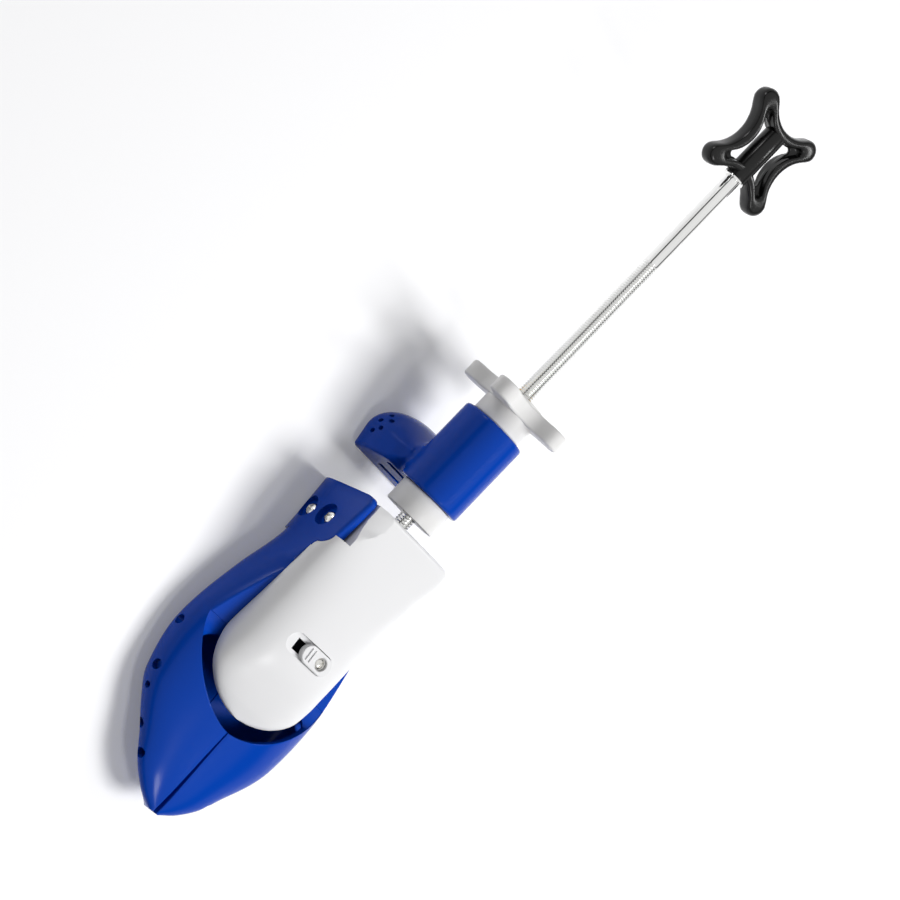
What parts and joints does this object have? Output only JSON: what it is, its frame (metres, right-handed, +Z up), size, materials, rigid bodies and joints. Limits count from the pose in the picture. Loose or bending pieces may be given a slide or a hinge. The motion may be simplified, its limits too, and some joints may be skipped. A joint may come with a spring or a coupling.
{
  "type": "shoe stretcher",
  "caption": "Two-way shoe stretcher: split blue toe form with white instep plate, threaded rod with ring handle, star knob and sliding heel piece",
  "frame": {"origin": "middle of the bounding box's footprint, on the plane of the sole", "axes": "+X to the toe along the sole, +Y to the object's left, +Z up from the sole"},
  "size_m": [0.4084, 0.0882, 0.0806],
  "materials": {
    "blue_plastic": "glossy moulded ABS, deep blue",
    "white_plastic": "smooth moulded plastic, white, soft gloss",
    "cream_plastic": "smooth moulded plastic, off-white",
    "black_plastic": "glossy moulded plastic, black",
    "core_plastic": null,
    "zinc_steel": "zinc-plated steel",
    "screw_steel": "bright plated steel",
    "rod_zinc": "bright plated steel, rolled thread",
    "insert_brass": null
  },
  "bodies": {
    "core": {"core_block": "core_plastic", "rod_nut": "zinc_steel", "hinge_pin_right": "zinc_steel", "hinge_pin_left": "zinc_steel", "hook_pin": "zinc_steel", "instep_plate": "white_plastic"},
    "right_half": {"half_right": "blue_plastic", "hinge_leaf_right": "zinc_steel", "ear_screw_right_top": "screw_steel", "ear_screw_right_low": "screw_steel", "cam_pin_right": "zinc_steel"},
    "left_half": {"half_left": "blue_plastic", "hinge_leaf_left": "zinc_steel", "ear_screw_left_top": "screw_steel", "ear_screw_left_low": "screw_steel", "cam_pin_left": "zinc_steel"},
    "cam": {"cam_plate": "core_plastic"},
    "rod": {"rod": "rod_zinc", "thrust_washer": "zinc_steel", "rod_clip": "zinc_steel", "handle": "black_plastic", "handle_washer": "rod_zinc", "handle_nut": "zinc_steel"},
    "latch": {"latch_button": "white_plastic", "latch_screw": "screw_steel", "latch_bolt": "zinc_steel"},
    "heel": {"heel_body": "blue_plastic"},
    "knob": {"knob": "cream_plastic", "knob_nut": "insert_brass", "front_collar": "cream_plastic"}
  },
  "joints": [
    {"name": "cam_slide", "type": "slide", "parent": "core", "child": "cam", "axis": [0.9848, 0, -0.1736], "range_m": [0, 0.018]},
    {"name": "rod_turn", "type": "hinge", "parent": "cam", "child": "rod", "pos_m": [0.09274, 0, 0.02396], "axis": [0.9848, 0, -0.1736], "range_deg": [0, 5190]},
    {"name": "right_open", "type": "hinge", "parent": "core", "child": "right_half", "pos_m": [0.05274, -0.014, 0.0155], "axis": [0, 0, -1], "range_deg": [0, 5]},
    {"name": "left_open", "type": "hinge", "parent": "core", "child": "left_half", "pos_m": [0.05274, 0.014, 0.0155], "axis": [0, 0, 1], "range_deg": [0, 5]},
    {"name": "latch_slide", "type": "slide", "parent": "core", "child": "latch", "axis": [0, -1, 0], "range_m": [0, 0.008]},
    {"name": "heel_slide", "type": "slide", "parent": "core", "child": "heel", "axis": [-0.9848, 0, 0.1736], "range_m": [-0.004, 0.055]},
    {"name": "knob_turn", "type": "hinge", "parent": "heel", "child": "knob", "pos_m": [-0.02726, 0, 0.04512], "axis": [-0.9848, 0, 0.1736], "range_deg": [-1160, 15850]}
  ],
  "couplings": [
    {"joint": "rod_turn", "follows": "cam_slide", "rad_per_m": 5026.5},
    {"joint": "right_open", "follows": "cam_slide", "rad_per_m": 4.8481},
    {"joint": "left_open", "follows": "cam_slide", "rad_per_m": 4.8481},
    {"joint": "knob_turn", "follows": "heel_slide", "rad_per_m": 5026.5}
  ]
}
